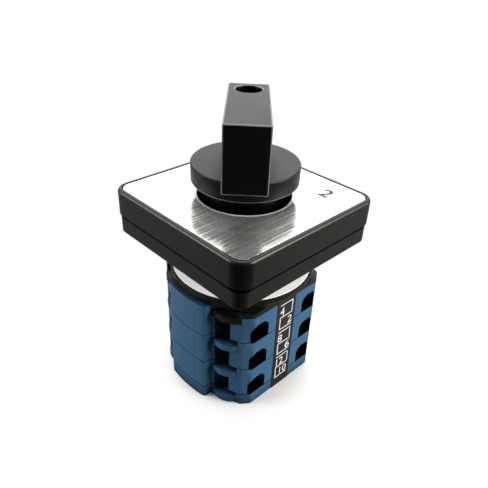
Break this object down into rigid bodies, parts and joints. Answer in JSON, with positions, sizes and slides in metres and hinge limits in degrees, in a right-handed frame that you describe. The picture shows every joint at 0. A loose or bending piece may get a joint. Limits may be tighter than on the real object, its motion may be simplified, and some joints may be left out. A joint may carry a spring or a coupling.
{
  "type": "rotary cam switch",
  "caption": "Panel-mounted rotary cam switch with a turning handle, square front plate and stacked contact decks with screw terminals.",
  "frame": {"origin": "centre of the end cover's rear face, on the shaft's axis", "axes": "+Z along the shaft towards the handle, +Y towards the side of terminals 1 and 2, +X towards the even terminals"},
  "size_m": [0.064, 0.064, 0.1078],
  "materials": {
    "blue_plastic": "satin moulded thermoplastic, blue",
    "black_plastic": "satin moulded thermoplastic, black",
    "strip_plastic": "matt black strip",
    "brushed_aluminium": "brushed",
    "contact_brass": "bright",
    "spring_steel": "drawn wire",
    "zinc_plated_steel": "bright zinc plate",
    "shaft_steel": "drawn bar",
    "inner_plastic": "natural moulded thermoplastic"
  },
  "bodies": {
    "switch_body": {"base_plate": "black_plastic", "bezel": "black_plastic", "contact_spring_11_12": "spring_steel", "contact_spring_1_2": "spring_steel", "contact_spring_3_4": "spring_steel", "contact_spring_5_6": "spring_steel", "contact_spring_7_8": "spring_steel", "contact_spring_9_10": "spring_steel", "deck_1": "blue_plastic", "deck_2": "blue_plastic", "deck_3": "blue_plastic", "detent_springs": "spring_steel", "end_cover": "blue_plastic", "fixed_contact_1": "contact_brass", "fixed_contact_10": "contact_brass", "fixed_contact_11": "contact_brass", "fixed_contact_12": "contact_brass", "fixed_contact_2": "contact_brass", "fixed_contact_3": "contact_brass", "fixed_contact_4": "contact_brass", "fixed_contact_5": "contact_brass", "fixed_contact_6": "contact_brass", "fixed_contact_7": "contact_brass", "fixed_contact_8": "contact_brass", "fixed_contact_9": "contact_brass", "housing_screws": "zinc_plated_steel", "marking_strip_even": "strip_plastic", "marking_strip_odd": "strip_plastic", "mechanism_housing": "black_plastic", "nameplate": "brushed_aluminium", "rating_disc": "brushed_aluminium", "terminal_clamps": "zinc_plated_steel", "terminal_screws": "zinc_plated_steel", "tie_bolts": "zinc_plated_steel"},
    "rotor": {"handle": "black_plastic", "handle_screw": "zinc_plated_steel", "handle_washer": "zinc_plated_steel", "shaft": "shaft_steel", "detent_wheel": "inner_plastic", "cam_1": "inner_plastic", "cam_2": "inner_plastic", "cam_3": "inner_plastic"},
    "moving_contact_1_2": {"plunger_1_2": "inner_plastic", "contact_bridge_1_2": "contact_brass"},
    "moving_contact_3_4": {"plunger_3_4": "inner_plastic", "contact_bridge_3_4": "contact_brass"},
    "moving_contact_5_6": {"plunger_5_6": "inner_plastic", "contact_bridge_5_6": "contact_brass"},
    "moving_contact_7_8": {"plunger_7_8": "inner_plastic", "contact_bridge_7_8": "contact_brass"},
    "moving_contact_9_10": {"plunger_9_10": "inner_plastic", "contact_bridge_9_10": "contact_brass"},
    "moving_contact_11_12": {"plunger_11_12": "inner_plastic", "contact_bridge_11_12": "contact_brass"}
  },
  "joints": [
    {"name": "handle_turn", "type": "hinge", "parent": "switch_body", "child": "rotor", "pos_m": [0, 0, 0.0575], "axis": [0, 0, 1], "range_deg": [-90, 0], "deforming": ["detent_springs"]},
    {"name": "contact_slide_1_2", "type": "slide", "parent": "switch_body", "child": "moving_contact_1_2", "axis": [0, 1, 0], "range_m": [0, 0.0024], "deforming": ["contact_spring_1_2"]},
    {"name": "contact_slide_3_4", "type": "slide", "parent": "switch_body", "child": "moving_contact_3_4", "axis": [0, 1, 0], "range_m": [0, 0.0024], "deforming": ["contact_spring_3_4"]},
    {"name": "contact_slide_5_6", "type": "slide", "parent": "switch_body", "child": "moving_contact_5_6", "axis": [0, 1, 0], "range_m": [0, 0.0024], "deforming": ["contact_spring_5_6"]},
    {"name": "contact_slide_7_8", "type": "slide", "parent": "switch_body", "child": "moving_contact_7_8", "axis": [0, 1, 0], "range_m": [0, 0.0024], "deforming": ["contact_spring_7_8"]},
    {"name": "contact_slide_9_10", "type": "slide", "parent": "switch_body", "child": "moving_contact_9_10", "axis": [0, 1, 0], "range_m": [0, 0.0024], "deforming": ["contact_spring_9_10"]},
    {"name": "contact_slide_11_12", "type": "slide", "parent": "switch_body", "child": "moving_contact_11_12", "axis": [0, 1, 0], "range_m": [0, 0.0024], "deforming": ["contact_spring_11_12"]}
  ],
  "couplings": [
    {"joint": "contact_slide_1_2", "follows": "handle_turn", "m_per_rad": -0.0015279},
    {"joint": "contact_slide_3_4", "follows": "handle_turn", "m_per_rad": -0.0015279},
    {"joint": "contact_slide_5_6", "follows": "handle_turn", "m_per_rad": -0.0015279},
    {"joint": "contact_slide_7_8", "follows": "handle_turn", "m_per_rad": -0.0015279},
    {"joint": "contact_slide_9_10", "follows": "handle_turn", "m_per_rad": -0.0015279},
    {"joint": "contact_slide_11_12", "follows": "handle_turn", "m_per_rad": -0.0015279}
  ]
}
